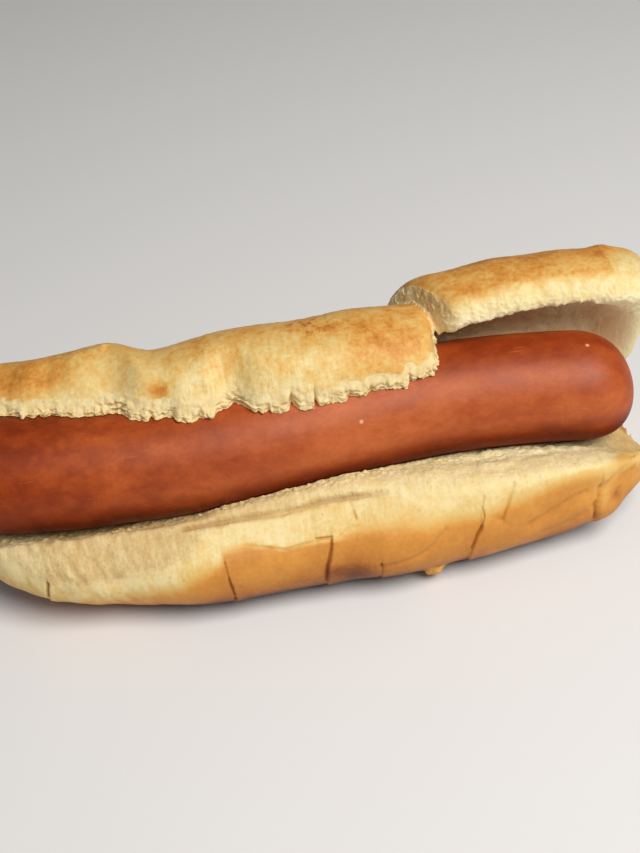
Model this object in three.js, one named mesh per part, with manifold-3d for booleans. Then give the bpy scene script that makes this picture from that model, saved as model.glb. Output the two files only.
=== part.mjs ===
// A hot dog: a plain frankfurter in a soft bun that lies on its lower half and opens to the front.
// The bun is one piece of bread. Its lower half and back wall carry an upper half that is torn
// across into two flaps: the long left one is folded down over the sausage, and the right one
// stands clear of it, with a hollow under it that its closed right end shuts.
// Millimetres, +X along the bun to the right, +Y to the hinge at the back, +Z up, sole at z = 0.

import * as THREE from 'three';
import Module from 'manifold-3d';

// ---- driving dimensions ----------------------------------------------------------------------
const SAUSAGE_RADIUS = 12.2;
const SAUSAGE_ENDS = [-79, 69.8];        // tips along x
const SAUSAGE_ROUNDING = [11, 12];       // length of each rounded tip
const AXIS_HEIGHT = 28.5;                // sausage axis above the ground
const SWAY_Y = 1.8;                      // the sausage's gentle S, sideways and up
const SWAY_Z = 1.5;
const SWAY_START = -67;
const SWAY_PERIOD = 132;
const CLEARANCE = 0.35;                  // between bread and sausage
const BEDDED_RADIUS = 11;                // the bread is drawn in to here, then the sausage is cut out

const BASE_ENDS = [-75.5, 72.5];         // lower half
const BASE_ROUNDING = [27, 31];          // of its rounded ends, at the front
const BASE_HINGE_ROUNDING = [18, 18];    // and at the back, where they are blunter
const BASE_TIP = [-5.5, 12.5];               // [y, z] that its ends close on
const HINGE_TRIM = 6;                    // the back wall's right end stops this much sooner
const LEFT_ENDS = [-76, 27];             // left flap, to the tear
const LEFT_ROUNDING = [17, 4];
const LEFT_TIP = [14, 41];
const RIGHT_ENDS = [29.7, 76];           // right flap, from the tear
const RIGHT_ROUNDING = [3.5, 15];
const RIGHT_HINGE_ROUNDING = [6, 9];
const RIGHT_TIP = [12, 43];
const TEAR_SLANT = 12;                   // the tear starts this much further left at the hinge
const HINGE_Y = 25;

const CRACKS = [-57, 3.5, 33, 57.5];     // creases across the crust of the lower half
const CRACK_DEPTH = 0.9;
const CRACK_HALF_WIDTH = 1.1;
const TOOTH_LENGTHS = [7.3, 4.6];        // the flap's ragged torn edge, two waves along x
const TOOTH_ANGLES = [2.1, 1.5];         // and how far each reaches round the sausage, degrees
const NODULE = { at: [20.3, -21.4, 3.6], radius: 2 };   // baked bead of dough, low at the front

const PROFILE_STEPS = 2;                 // mesh points on each span of a section
const SAUSAGE_SIDES = 22;

const BREAD_COLOUR = 0xe3b873;
const SAUSAGE_COLOUR = 0xa9502f;

// ---- small maths -----------------------------------------------------------------------------
const radians = THREE.MathUtils.degToRad;
const mix = THREE.MathUtils.lerp;
const blend = THREE.MathUtils.smoothstep;            // blend(x, low, high)

// A value along the bun, eased from one station [x, value] to the next.
function along(stations, x) {
  const last = stations.length - 1;
  if (x <= stations[0][0]) return stations[0][1];
  if (x >= stations[last][0]) return stations[last][1];
  const i = stations.findIndex(([at]) => at > x) - 1;
  const [x0, v0] = stations[i];
  const [x1, v1] = stations[i + 1];
  return mix(v0, v1, blend(x, x0, x1));
}

// The share of its full size that a section has near a rounded end: 1 in the middle, 0 at a tip.
function endShare(x, ends, rounding, power) {
  const left = (ends[0] + rounding[0] - x) / rounding[0];
  const right = (x - ends[1] + rounding[1]) / rounding[1];
  const t = THREE.MathUtils.clamp(Math.max(left, right), 0, 1);
  return Math.pow(1 - Math.pow(t, power), 1 / power);
}

// Where the sausage's axis runs: a slight S that dies out towards the tips.
function axisAt(x) {
  const fade = THREE.MathUtils.clamp((82 - Math.abs(x)) / 14, 0, 1);
  const s = Math.sin(2 * Math.PI * (x - SWAY_START) / SWAY_PERIOD) * fade;
  return { y: -SWAY_Y * s, z: AXIS_HEIGHT - SWAY_Z * s };
}

// A point at an angle round the sausage's axis: 0 straight down, 90 to the back, 180 straight up.
function round(axis, angle, radius) {
  const a = radians(angle);
  return [axis.y + radius * Math.sin(a), axis.z - radius * Math.cos(a)];
}

// Draws an outline in towards a centre, by one share in front of it and another behind it.
function shrinkTo(centre, points, frontShare, backShare = frontShare) {
  return points.map(([y, z]) => {
    const share = mix(frontShare, backShare, blend(y, centre[0] - 8, centre[0] + 8));
    return [mix(centre[0], y, share), mix(centre[1], z, share)];
  });
}

// ---- sections: outline points [y, z] at x ----------------------------------------------------
function baseSection(x) {
  const axis = axisAt(x);
  const sway = axis.z - AXIS_HEIGHT;
  const rimY = along([[-75, -17], [-40, -18], [-2, -17.5], [30, -20.5], [60, -20.5], [75, -19]], x);
  const bulge = along(
    [[-75, 0.82], [-50, 0.93], [-28, 1.05], [0, 1.02], [13, 1.05], [30, 0.98], [50, 0.9], [75, 0.8]], x);
  const lift = along([[-76, 7], [-60, 3.5], [-42, 1.2], [-22, 0], [30, 0], [48, 1], [60, 2.4], [72, 5]], x);
  const lip = along([[-60, -0.9], [-40, 0.2], [-29, 1.6], [-22, 4.3], [-6, 5], [3, 4.8], [12, 3.1], [34, 0]], x);
  const [lipY, lipZ] = [axis.y - 9.5 - lip * 0.45, 18.6 + sway + lip];   // the crumb against the sausage
  const creased = CRACKS.reduce(
    (sum, at) => sum + CRACK_DEPTH * Math.exp(-(((x - at) / CRACK_HALF_WIDTH) ** 2)), 0);
  const front = (y) => y * bulge + creased;
  const points = [
    [rimY, 22.9 + sway * 0.3],
    [front(-24.6), 16.5 + lift * 0.5],
    [front(-25.6), 9 + lift * 0.8],
    [front(-20.5), 2.2 + lift],
    [-14.5 * bulge, lift],
    [0, lift],
    [12.5, lift],
    [21.5, 3.4 + lift * 0.8],
    [26, 11],
    [25.4, 20],
    [22.4, 29],
    [17.5, 35],
    [13.5, 33],
    round(axis, 84, BEDDED_RADIUS),
    round(axis, 48, BEDDED_RADIUS),
    round(axis, 8, BEDDED_RADIUS),
    [lipY, lipZ],
    [mix(lipY, rimY, 0.55), mix(lipZ, 22.9 + sway * 0.3, 0.5) + 1.2],
  ];
  return shrinkTo(
    BASE_TIP, points, endShare(x, BASE_ENDS, BASE_ROUNDING, 2.3),
    endShare(x, BASE_ENDS, BASE_HINGE_ROUNDING, 2.5));
}

function leftSection(x) {
  const axis = axisAt(x);
  const hinge = 85;
  const teeth = TOOTH_LENGTHS.reduce(
    (sum, length, i) => sum + TOOTH_ANGLES[i] * Math.sin(2 * Math.PI * x / length + i), 0);
  const rim = along(
    [[-68, 156], [-50, 162], [-42, 165], [-36, 179], [-27, 191], [-17, 186], [-10, 202], [-2, 207],
      [8, 208], [18, 210], [24, 203]], x);
  const top = along([[-62, 25.2], [-43, 26.9], [-32.5, 23.6], [-20, 24.7], [5, 23], [25, 21.2]], x);
  const at = (share, radius) => round(axis, mix(hinge, rim, share), radius);
  const points = [
    round(axis, 50, 22),
    round(axis, 69, 25.6),
    round(axis, hinge, 26.4),
    at(0.3, top * 1.03),
    at(0.55, top),
    at(0.8, top * 0.86),
    round(axis, rim + teeth - 6, SAUSAGE_RADIUS + 3.4),
    round(axis, rim + teeth - 0.5, SAUSAGE_RADIUS + 1.6),
    round(axis, rim + teeth, BEDDED_RADIUS),
    at(0.66, BEDDED_RADIUS),
    at(0.33, BEDDED_RADIUS),
    round(axis, hinge, BEDDED_RADIUS),
    round(axis, 50, BEDDED_RADIUS),
  ];
  return shrinkTo(LEFT_TIP, points, endShare(x, LEFT_ENDS, LEFT_ROUNDING, 3));
}

function rightSection(x) {
  const lift = along([[28, -5.4], [36, -3], [46, -1.4], [56, -1.2], [64, -2], [68, -2.6]], x);
  const shut = blend(x, 60, 75);           // the hollow closes towards the right end
  const inside = (open, closed) => [mix(open[0], closed[0], shut), mix(open[1], closed[1], shut)];
  const points = [
    [20, 14],
    [24.4, 19.5],
    [26.4, 28],
    [26.2, 38],
    [23.2, 49 + lift],
    [16.2, 55.8 + lift],
    [8.5, 57.6 + lift],
    [3.6, 56.6 + lift],
    inside([1.6, 52.4 + lift], [0.8, 50.6]),
    inside([4.5, 50 + lift], [2.5, 45.5]),
    inside([10.5, 46], [4.5, 39]),
    inside([14, 38], [8, 30]),
    inside([13.6, 28], [12, 21]),
    [14, 16],
  ];
  return shrinkTo(
    RIGHT_TIP, points, endShare(x, RIGHT_ENDS, RIGHT_ROUNDING, 3),
    endShare(x, RIGHT_ENDS, RIGHT_HINGE_ROUNDING, 3));
}

// The tear runs aslant, so the right flap's outlines near it lean over towards the hinge, and low
// down its right end is drawn in to meet the back wall's.
const leaned = (x, y, z) => x
  - TEAR_SLANT * (y / HINGE_Y) * (1 - blend(x, RIGHT_ENDS[0], 52))
  - HINGE_TRIM * blend(x, 45, RIGHT_ENDS[1]) * (1 - blend(z, 16, 27));
const trimmed = (x, y) => x - HINGE_TRIM * blend(y, -10, 18) * blend(x, 42, BASE_ENDS[1]);

// The sausage's outline at x, with its skin moved out by `grow`.
function sausageSection(x, grow = 0) {
  const axis = axisAt(THREE.MathUtils.clamp(x, ...SAUSAGE_ENDS));
  const ends = [SAUSAGE_ENDS[0] - grow, SAUSAGE_ENDS[1] + grow];
  const radius = (SAUSAGE_RADIUS + grow) * endShare(x, ends, SAUSAGE_ROUNDING, 2.3);
  return Array.from({ length: SAUSAGE_SIDES }, (_, i) => round(axis, i * 360 / SAUSAGE_SIDES, radius));
}

// ---- lofting ---------------------------------------------------------------------------------
// Stations from tip to tip, closer together where the ends round off and at the extra places.
function stations(ends, rounding, endCount, middleCount, extra = []) {
  const [a, b] = ends;
  const [ra, rb] = rounding;
  const xs = [...extra];
  for (let i = 0; i < endCount; i += 1) {
    const bend = 1 - Math.cos((Math.PI / 2) * (i / endCount));
    xs.push(a + ra * bend, b - rb * bend);
  }
  for (let i = 0; i <= middleCount; i += 1) xs.push(mix(a + ra, b - rb, i / middleCount));
  const sorted = [...new Set(xs)].sort((p, q) => p - q);
  return sorted.filter((x, i) => i === 0 || x - sorted[i - 1] > 0.3 || x === b);
}

function smoothOutline(points) {
  const curve = new THREE.CatmullRomCurve3(
    points.map(([y, z]) => new THREE.Vector3(0, y, z)), true, 'centripetal');
  const count = points.length * PROFILE_STEPS;
  return Array.from({ length: count }, (_, i) => curve.getPoint(i / count)).map((p) => [p.y, p.z]);
}

// A closed solid through the outlines at xs, with a point at each tip. `place` moves a point of
// the outline at x along the bun.
function loft(xs, outlineAt, place = (x) => x) {
  const rings = xs.slice(1, -1).map(
    (x) => outlineAt(x).map(([y, z]) => [place(x, y, z), y, Math.max(z, 0)]));
  const tips = [xs[0], xs[xs.length - 1]].map((x, i) => {
    const ring = rings[i * (rings.length - 1)];
    const mean = (k) => ring.reduce((sum, p) => sum + p[k], 0) / ring.length;
    return [place(x, mean(1), mean(2)), mean(1), mean(2)];
  });
  const size = rings[0].length;
  const first = rings.length * size;
  const index = [];
  for (let j = 0; j < size; j += 1) {
    const next = (j + 1) % size;
    for (let i = 0; i < rings.length - 1; i += 1) {
      const a = i * size + j;
      const b = i * size + next;
      index.push(a, b, b + size, a, b + size, a + size);
    }
    index.push(first, next, j);
    const end = (rings.length - 1) * size;
    index.push(first + 1, end + j, end + next);
  }
  return { vertices: Float32Array.from([...rings.flat(2), ...tips.flat()]), index: Uint32Array.from(index) };
}

// ---- solids ----------------------------------------------------------------------------------
const wasm = await Module();
wasm.setup();

// A Manifold whichever way round its faces were wound.
function solid({ vertices, index }) {
  const made = (triVerts) => new wasm.Manifold(
    new wasm.Mesh({ numProp: 3, vertProperties: vertices, triVerts }));
  const first = made(index);
  return first.volume() > 0 ? first : made(Uint32Array.from(index).reverse());
}

function geometryOf(manifold) {
  const mesh = manifold.getMesh();
  const geometry = new THREE.BufferGeometry();
  geometry.setAttribute('position', new THREE.BufferAttribute(mesh.vertProperties, 3));
  geometry.setIndex(new THREE.BufferAttribute(mesh.triVerts, 1));
  geometry.computeVertexNormals();
  return geometry;
}

function sausageSolid(grow) {
  const ends = [SAUSAGE_ENDS[0] - grow, SAUSAGE_ENDS[1] + grow];
  return solid(loft(stations(ends, SAUSAGE_ROUNDING, 6, 18), (x) => sausageSection(x, grow)));
}

function noduleSolid() {
  const { at: [x0, y0, z0], radius } = NODULE;
  const rows = 7;
  const xs = Array.from({ length: rows }, (_, i) => x0 - radius * Math.cos(Math.PI * i / (rows - 1)));
  return solid(loft(xs, (x) => {
    const r = Math.sqrt(Math.max(radius ** 2 - (x - x0) ** 2, 0));
    return Array.from({ length: 8 }, (_, i) => round({ y: y0, z: z0 }, i * 45, r));
  }));
}

const lofted = (xs, section, place) => solid(loft(xs, (x) => smoothOutline(section(x)), place));

function bunSolid() {
  const besideCracks = CRACKS.flatMap((at) => [-1.6, 0, 1.6].map((k) => at + k * CRACK_HALF_WIDTH));
  const base = lofted(stations(BASE_ENDS, BASE_ROUNDING, 8, 14, besideCracks), baseSection, trimmed);
  const left = lofted(stations(LEFT_ENDS, LEFT_ROUNDING, 6, 38), leftSection);
  const right = lofted(stations(RIGHT_ENDS, RIGHT_ROUNDING, 6, 9), rightSection, leaned);
  return base.add(left).add(right).add(noduleSolid()).subtract(sausageSolid(CLEARANCE));
}

// ---- the object --------------------------------------------------------------------------------
function part(name, manifold, colour, roughness) {
  const material = new THREE.MeshStandardMaterial({ color: colour, roughness, metalness: 0 });
  const mesh = new THREE.Mesh(geometryOf(manifold), material);
  mesh.name = name;
  return mesh;
}

const hotDog = new THREE.Group();
hotDog.add(part('bun', bunSolid(), BREAD_COLOUR, 0.75));
hotDog.add(part('sausage', sausageSolid(0), SAUSAGE_COLOUR, 0.45));

// The origin is the middle of the object's outline on the ground.
const middle = new THREE.Box3().setFromObject(hotDog).getCenter(new THREE.Vector3());
hotDog.position.set(-middle.x, -middle.y, 0);

export default hotDog;
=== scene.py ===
"""A hot dog: a plain frankfurter in a soft bun whose upper half is torn across into two flaps.

The bun is lofted from the same named sizes as its CAD solid, in millimetres along X, joined into
one skin by a voxel remesh, and then given its torn edges, crumb, wrinkles and cracks by moving
vertices. Weights for crumb and browning, with painted light and shade among them, are kept on the
vertices and drive one bread material.
"""

import itertools
import math

import bmesh
import bpy
import numpy as np
from mathutils import Matrix, Vector
from mathutils.kdtree import KDTree


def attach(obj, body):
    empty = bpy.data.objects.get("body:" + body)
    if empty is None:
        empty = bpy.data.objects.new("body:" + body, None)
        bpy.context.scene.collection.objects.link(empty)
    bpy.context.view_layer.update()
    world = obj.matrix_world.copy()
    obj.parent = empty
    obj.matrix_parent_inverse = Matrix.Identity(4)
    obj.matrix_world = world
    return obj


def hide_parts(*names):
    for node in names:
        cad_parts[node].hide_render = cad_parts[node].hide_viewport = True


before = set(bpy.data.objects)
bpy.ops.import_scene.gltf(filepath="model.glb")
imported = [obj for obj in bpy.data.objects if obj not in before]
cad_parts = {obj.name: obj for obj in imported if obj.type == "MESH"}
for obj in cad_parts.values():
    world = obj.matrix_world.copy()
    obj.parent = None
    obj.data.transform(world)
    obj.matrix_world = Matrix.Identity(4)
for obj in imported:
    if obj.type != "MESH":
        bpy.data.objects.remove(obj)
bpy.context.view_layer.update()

MM = 0.001
# The CAD centres its box on the origin; this is where the zero of its own numbers went, in mm.
CAD_OFFSET = np.array([1.5, -0.366, 0.0])

# ---- sizes shared with the CAD solid, in millimetres ----
SAUSAGE_RADIUS = 12.2
SAUSAGE_ENDS = (-79.0, 69.2)
SAUSAGE_ROUNDING = (11.0, 12.0)
AXIS_HEIGHT = 28.5
SWAY_Y = 1.8
SWAY_Z = 1.5
SWAY_START = -67.0
SWAY_PERIOD = 132.0
BEDDED_RADIUS = 11.0

BASE_ENDS = (-75.5, 72.5)
BASE_ROUNDING = (27.0, 31.0)
BASE_HINGE_ROUNDING = (18.0, 18.0)
BASE_TIP = (-5.5, 12.5)
HINGE_TRIM = 6.0
RIGHT_TRIM = 6.0
LEFT_ENDS = (-76.0, 27.0)
LEFT_ROUNDING = (17.0, 4.0)
LEFT_TIP = (14.0, 41.0)
RIGHT_ENDS = (29.7, 76.0)
RIGHT_ROUNDING = (3.5, 15.0)
RIGHT_HINGE_ROUNDING = (6.0, 9.0)
RIGHT_TIP = (12.0, 43.0)
TEAR_SLANT = 12.0
HINGE_Y = 25.0
NODULE_AT = (20.3, -22.6, 4.0)
NODULE_RADIUS = 2.2

CONTACT_GAP = 0.12  # between the visible bread and the sausage
VOXEL = 0.4


# ---- small maths ----
def blend(x, low, high):
    """0 below low and 1 above high, eased between."""
    t = np.clip((np.asarray(x, float) - low) / (high - low), 0.0, 1.0)
    return t * t * (3.0 - 2.0 * t)


def mix(a, b, t):
    return a + (b - a) * t


def along(table, x):
    """A value along the bun, eased from one (x, value) pair of the table to the next."""
    xs, values = np.array(table, float).T
    x = np.asarray(x, float)
    i = np.clip(np.searchsorted(xs, x, side="right") - 1, 0, len(xs) - 2)
    return mix(values[i], values[i + 1], blend((x - xs[i]) / (xs[i + 1] - xs[i]), 0.0, 1.0))


def end_share(x, ends, rounding, power):
    """1 along the middle, curving down to 0 at both ends."""
    left = (ends[0] + rounding[0] - x) / rounding[0]
    right = (x - ends[1] + rounding[1]) / rounding[1]
    t = np.clip(np.maximum(left, right), 0.0, 1.0)
    return (1.0 - t ** power) ** (1.0 / power)


def left_swell(x):
    """How much thicker, and so lower, the sausage is towards its left end."""
    return 0.5 * (1 - blend(x, -62, -38))


def axis_at(x):
    """The side (y) and the height of the sausage's axis at x: a slight S."""
    fade = np.clip((82.0 - np.abs(x)) / 14.0, 0.0, 1.0)
    s = np.sin(2.0 * math.pi * (x - SWAY_START) / SWAY_PERIOD) * fade
    return -SWAY_Y * s, AXIS_HEIGHT - SWAY_Z * s - left_swell(x)


def polar(axis, degrees, radius):
    """A point round the sausage's axis: 0 straight down, 90 to the hinge, 180 straight up."""
    a = np.radians(degrees)
    return axis[0] + radius * np.sin(a), axis[1] - radius * np.cos(a)


def around(co):
    """Angle and distance from the sausage's axis: 0 is straight down, and the front is negative."""
    axis_y, axis_z = axis_at(co[:, 0])
    return (np.arctan2(co[:, 1] - axis_y, -(co[:, 2] - axis_z)),
            np.hypot(co[:, 1] - axis_y, co[:, 2] - axis_z))


def sausage_radius(x, grow=0.0):
    ends = (SAUSAGE_ENDS[0] - grow, SAUSAGE_ENDS[1] + grow)
    return (SAUSAGE_RADIUS + left_swell(x) + grow) * end_share(x, ends, SAUSAGE_ROUNDING, 2.3)


def near_to(co, at, radius):
    """1 at a place, fading to nothing over about twice that radius."""
    return np.exp(-(np.linalg.norm(co - at, axis=1) / radius) ** 2)


def from_line(co, points):
    """How far each vertex is from a line through points, and how far along X from it."""
    best = np.full(len(co), 1e9)
    side = np.zeros(len(co))
    points = np.array(points, float)
    for a, b in zip(points[:-1], points[1:]):
        run = b - a
        t = np.clip((co - a) @ run / (run @ run), 0, 1)
        offset = co - (a + t[:, None] * run)
        distance = np.linalg.norm(offset, axis=1)
        side = np.where(distance < best, offset[:, 0], side)
        best = np.minimum(best, distance)
    return best, side


# ---- noise ----
def hashed(cells, seed):
    """A repeatable number from 0 to 1 for each whole-numbered cell."""
    h = (cells[..., 0].astype(np.int64) * 374761393 + cells[..., 1].astype(np.int64) * 668265263
         + cells[..., 2].astype(np.int64) * 2147483647 + seed * 1274126177)
    h = (h ^ (h >> 13)) * 1274126177
    h = (h ^ (h >> 16)) & 0xFFFFFF
    return h / float(0xFFFFFF)


def value_noise(p, seed):
    """Smooth noise from -1 to 1 at points p, one cell wide."""
    base = np.floor(p)
    t = p - base
    t = t * t * t * (t * (t * 6.0 - 15.0) + 10.0)
    total = np.zeros(len(p))
    for corner in range(8):
        step = np.array([corner & 1, corner >> 1 & 1, corner >> 2 & 1])
        weight = np.prod(np.where(step == 1, t, 1.0 - t), axis=1)
        total += weight * hashed(base + step, seed)
    return total * 2.0 - 1.0


def cloud(p, size, octaves, seed, gain=0.5):
    """Fractal noise of that feature size, from about -1 to 1."""
    total, amount, reach = np.zeros(len(p)), 1.0, 0.0
    q = p / size
    for i in range(octaves):
        total += amount * value_noise(q + 17.3 * i, seed + i)
        reach += amount
        amount *= gain
        q = q * 2.03
    return total / reach


def spot_distance(p, size, seed):
    """Distance to the nearest of scattered spots, one to each cell of that size, in sizes."""
    q = p / size
    base = np.floor(q)
    near = np.full(len(p), 9.0)
    for step in itertools.product((-1, 0, 1), repeat=3):
        cell = base + step
        spot = cell + np.stack([hashed(cell, seed + k) for k in range(3)], axis=1)
        near = np.minimum(near, np.linalg.norm(q - spot, axis=1))
    return near


def noise_along(x, size, seed, octaves=1):
    """Noise that depends on x alone."""
    p = np.zeros((np.size(x), 3))
    p[:, 0] = np.ravel(x)
    return cloud(p + 0.37, size, octaves, seed).reshape(np.shape(x))


# ---- sections ----
def shrink_to(centre, points, front, back=None):
    """Draws sections in towards centre, by one share at the front and one at the hinge."""
    back = front if back is None else back
    centre = np.array(centre)
    share = mix(front[:, None], back[:, None],
                blend(points[..., 0], centre[0] - 8, centre[0] + 8))
    return centre + (points - centre) * share[..., None]


def outline(points, x):
    """Stacks (y, z) pairs, numbers or arrays over x, into one array of sections."""
    return np.stack([np.stack([np.broadcast_to(y, x.shape), np.broadcast_to(z, x.shape)], axis=-1)
                     for y, z in points], axis=1).astype(float)


# How high the lower half's underside is at x.
BASE_LIFT = [(-76, 7), (-60, 3.5), (-42, 1.2), (-22, 0), (30, 0), (48, 1), (60, 2.4), (72, 5)]


def base_section(x):
    """Front rim, front, sole, back wall, the bed under the sausage, and the lip before it."""
    axis = axis_at(x)
    sway = axis[1] - AXIS_HEIGHT
    rim_z = 22.9 + sway * 0.3
    rim_y = along([(-75, -17), (-40, -18), (-2, -17.5), (30, -20.5), (60, -20.5), (75, -19)], x)
    bulge = along([(-75, 0.82), (-50, 0.93), (-28, 1.05), (0, 1.02), (13, 1.05), (30, 0.98),
                   (50, 0.9), (75, 0.8)], x)
    lift = along(BASE_LIFT, x)
    lip = along([(-60, -0.9), (-40, 0.2), (-29, 1.6), (-22, 4.3), (-14, 4.6), (-6, 5), (3, 4.8),
                 (12, 3.1), (20, 2), (34, 0)], x)
    lip_y, lip_z = axis[0] - 9.5 - lip * 0.45, 18.6 + sway + lip
    ridge = along([(-60, 0.3), (-30, 0.9), (0, 1.1), (20, 1.2), (34, 1.5), (60, 1.5)], x)
    points = outline([
        (rim_y, rim_z),
        (-24.6 * bulge, 16.5 + lift * 0.5),
        (-25.6 * bulge, 9 + lift * 0.8),
        (-20.5 * bulge, 2.2 + lift),
        (-14.5 * bulge, lift),
        (0, lift),
        (12.5, lift),
        (21.5, 3.4 + lift * 0.8),
        (26, 11),
        (25.4, 20),
        (22.4, 29),
        (17.5, 35),
        (13.5, 33),
        polar(axis, 84, BEDDED_RADIUS),
        polar(axis, 48, BEDDED_RADIUS),
        polar(axis, 8, BEDDED_RADIUS),
        (lip_y, lip_z),
        (mix(lip_y, rim_y, 0.55), mix(lip_z, rim_z, 0.5) + ridge),
    ], x)
    return shrink_to(BASE_TIP, points, end_share(x, BASE_ENDS, BASE_ROUNDING, 2.3),
                     end_share(x, BASE_ENDS, BASE_HINGE_ROUNDING, 2.5))


# The left flap's torn edge: x and how far round the sausage it reaches, in degrees.
RIM = [(-76, 151), (-66, 152), (-62, 155), (-60.9, 165), (-60.2, 158), (-58.7, 163), (-57.8, 156),
       (-56.5, 162), (-55.3, 158), (-53, 163), (-49, 165.5), (-42.4, 164), (-40.6, 165),
       (-39.3, 172), (-38.4, 178), (-35.3, 184), (-34.6, 179), (-33.6, 186), (-32.2, 181),
       (-30.2, 184), (-29, 191.5), (-26.2, 196), (-24.9, 191), (-21.8, 195), (-20.8, 186),
       (-16.7, 182), (-12.7, 200), (-11.4, 203), (-10.4, 199), (-9.7, 205), (-8, 205),
       (-6.3, 203), (-5.5, 195), (-4.8, 200), (-3.8, 210), (-1.2, 211), (-0.6, 199), (0.1, 208),
       (3.5, 209), (5.7, 209), (6.7, 204.5), (9.3, 211), (11.3, 206), (16.1, 210), (18.7, 213),
       (19.6, 204), (21, 206.5), (24.5, 204), (26, 198)]


def rim_outside(x):
    """A smooth line past the teeth of the left flap's torn edge, in degrees."""
    return np.mean([np.max([along(RIM, x + d + e) for e in (-1.6, -0.8, 0, 0.8, 1.6)], axis=0)
                    for d in (-1.8, -0.9, 0, 0.9, 1.8)], axis=0)


MM_PER_DEGREE = 0.25  # along the surface at the torn edge


def to_edge(x, turn, reach, step, soft):
    """Millimetres to the left flap's torn edge, its teeth rounded by soft; 0 past it."""
    xs = np.arange(-80.0, 40.0, 0.1)
    edge = np.mean([along(RIM, xs + d) for d in np.linspace(-soft, soft, 7)], axis=0)
    return np.min([np.hypot(d, MM_PER_DEGREE * np.minimum(turn - np.interp(x + d, xs, edge), 0))
                   for d in np.arange(-reach, reach + 0.01, step)], axis=0)


def left_section(x):
    """From the hinge over the sausage to the smooth line past the torn edge, and back inside."""
    axis = axis_at(x)
    hinge = 85.0
    rim = rim_outside(x)
    even = np.mean([rim_outside(x + d) for d in (-7, -5, -3, -1, 1, 3, 5, 7)], axis=0)
    top = along([(-62, 25.2), (-43, 26.9), (-32.5, 23.6), (-20, 24.7), (5, 23), (25, 21.2)], x)

    def at(share, radius):
        return polar(axis, mix(hinge, np.minimum(even, rim + 9), share), radius)

    points = outline([
        polar(axis, 50, 22),
        polar(axis, 69, 25.6),
        polar(axis, hinge, 26.4),
        at(0.3, top * 1.03),
        at(0.55, top),
        at(0.8, top * 0.86),
        polar(axis, np.minimum(mix(even, rim, 0.6) - 6, rim - 3.5), SAUSAGE_RADIUS + 2.9),
        polar(axis, rim, SAUSAGE_RADIUS + 1.2),
        polar(axis, rim, BEDDED_RADIUS),
        at(0.66, BEDDED_RADIUS),
        at(0.33, BEDDED_RADIUS),
        polar(axis, hinge, BEDDED_RADIUS),
        polar(axis, 50, BEDDED_RADIUS),
    ], x)
    return shrink_to(LEFT_TIP, points, end_share(x, LEFT_ENDS, LEFT_ROUNDING, 3))


def right_section(x):
    """Up the back wall, over to the front edge, and back through the hollow."""
    lift = along([(28, -5.4), (36, -3), (46, -1.4), (56, -1.2), (64, -2), (68, -2.6)], x)
    shut = blend(x, 60, 75)

    def inside(opened, closed):
        return mix(opened[0], closed[0], shut), mix(opened[1], closed[1], shut)

    points = outline([
        (20, 14),
        (24.4, 19.5),
        (26.4, 28),
        (26.2, 38),
        (23.2, 49 + lift),
        (16.2, 55.8 + lift),
        (8.5, 57.6 + lift),
        (3.6, 56.6 + lift),
        inside((1.6, 52.4 + lift), (0.8, 50.6)),
        inside((4.5, 50 + lift), (2.5, 45.5)),
        inside((10.5, 46), (4.5, 39)),
        inside((14, 38), (8, 30)),
        inside((13.6, 28), (12, 21)),
        (14, 16),
    ], x)
    return shrink_to(RIGHT_TIP, points, end_share(x, RIGHT_ENDS, RIGHT_ROUNDING, 3),
                     end_share(x, RIGHT_ENDS, RIGHT_HINGE_ROUNDING, 3))


def trimmed(x, y, z):
    """The lower half's right end stops sooner towards the hinge."""
    return x - HINGE_TRIM * blend(y, -10, 18) * blend(x, 42, BASE_ENDS[1])


def leaned(x, y, z):
    """The right flap's torn end slants, and its other end stops sooner low down."""
    return (x - TEAR_SLANT * (y / HINGE_Y) * (1 - blend(x, RIGHT_ENDS[0], 52))
            - RIGHT_TRIM * blend(x, 45, RIGHT_ENDS[1]) * (1 - blend(z, 16, 27)))


# ---- lofting ----
def smooth_outline(points, steps):
    """Closed centripetal Catmull-Rom curves through sections (n, k, 2), steps points a span."""
    p0, p1, p2, p3 = (np.roll(points, 1 - i, axis=1) for i in range(4))

    def knot(a, b):
        return np.maximum(np.linalg.norm(b - a, axis=-1, keepdims=True), 1e-6) ** 0.5

    d0, d1, d2 = knot(p0, p1), knot(p1, p2), knot(p2, p3)
    t1 = ((p1 - p0) / d0 - (p2 - p0) / (d0 + d1) + (p2 - p1) / d1) * d1
    t2 = ((p2 - p1) / d1 - (p3 - p1) / (d1 + d2) + (p3 - p2) / d2) * d1
    t = (np.arange(steps) / steps)[None, None, :, None]
    a, b, c, d = (v[:, :, None, :] for v in (p1, t1, -3 * p1 + 3 * p2 - 2 * t1 - t2,
                                             2 * p1 - 2 * p2 + t1 + t2))
    curve = a + b * t + c * t ** 2 + d * t ** 3
    return curve.reshape(len(points), -1, 2)


def stations(ends, rounding, end_count, spacing=None, rings=None):
    """Places along x, closer together where the ends round off."""
    bend = 1 - np.cos(math.pi / 2 * np.arange(1, end_count) / end_count)
    start, stop = ends[0] + rounding[0], ends[1] - rounding[1]
    middle = np.linspace(start, stop, rings) if rings else np.arange(start, stop, spacing)
    return np.concatenate([ends[0] + rounding[0] * bend, middle,
                           (ends[1] - rounding[1] * bend)[::-1]])


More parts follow.
